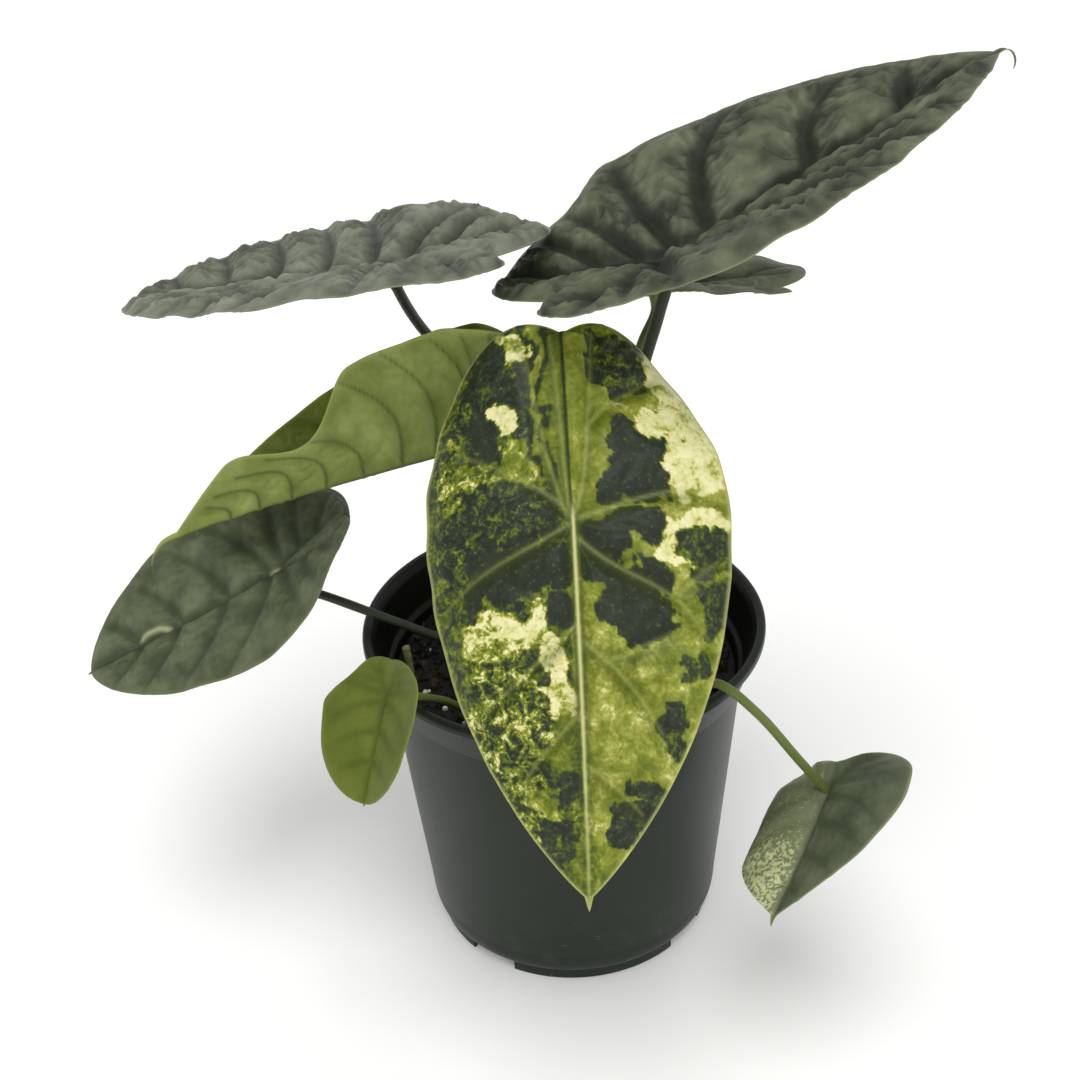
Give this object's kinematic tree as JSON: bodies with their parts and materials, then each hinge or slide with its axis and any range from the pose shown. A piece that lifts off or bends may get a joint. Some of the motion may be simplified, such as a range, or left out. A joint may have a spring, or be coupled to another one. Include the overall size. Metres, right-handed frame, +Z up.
{
  "type": "potted alocasia",
  "caption": "Tropical foliage plant with quilted arrow-shaped leaves on long stalks, one leaf mottled cream and green, growing from soil in a round tapered nursery pot.",
  "frame": {"origin": "centre of the underside of the pot, where it stands", "axes": "+Z up along the pot's axis; -Y towards the side where the mottled leaf hangs over the pot; +X to the side of the tallest leaf"},
  "size_m": [0.3367, 0.215, 0.3177],
  "materials": {
    "pot_plastic": "satin",
    "potting_mix": "matte",
    "crown_skin": "satin",
    "old_stalk": "matte",
    "root_skin": "matte",
    "stalk_dark": "satin",
    "stalk_green": "satin",
    "leaf_dark": "satin",
    "leaf_grey_green": "satin",
    "leaf_mottled": "satin",
    "leaf_lime": "satin",
    "leaf_olive": "satin"
  },
  "bodies": {
    "root": {"pot": "pot_plastic", "soil": "potting_mix", "crown": "crown_skin", "old_stalk_stub": "old_stalk", "root_1": "root_skin", "root_2": "root_skin", "root_3": "root_skin", "root_4": "root_skin", "root_5": "root_skin", "root_6": "root_skin", "stalk_upper_right": "stalk_dark", "stalk_upper_left": "stalk_dark", "stalk_lower_left": "stalk_dark", "stalk_back": "stalk_green", "stalk_variegated": "stalk_green", "stalk_lime": "stalk_green", "stalk_small_left": "stalk_green", "stalk_lower_right": "stalk_green", "leaf_upper_right": "leaf_dark", "leaf_back": "leaf_dark", "leaf_lower_left": "leaf_dark", "leaf_upper_left": "leaf_grey_green", "leaf_lower_right": "leaf_grey_green", "leaf_variegated": "leaf_mottled", "leaf_lime": "leaf_lime", "leaf_small_left": "leaf_olive"}
  },
  "joints": []
}
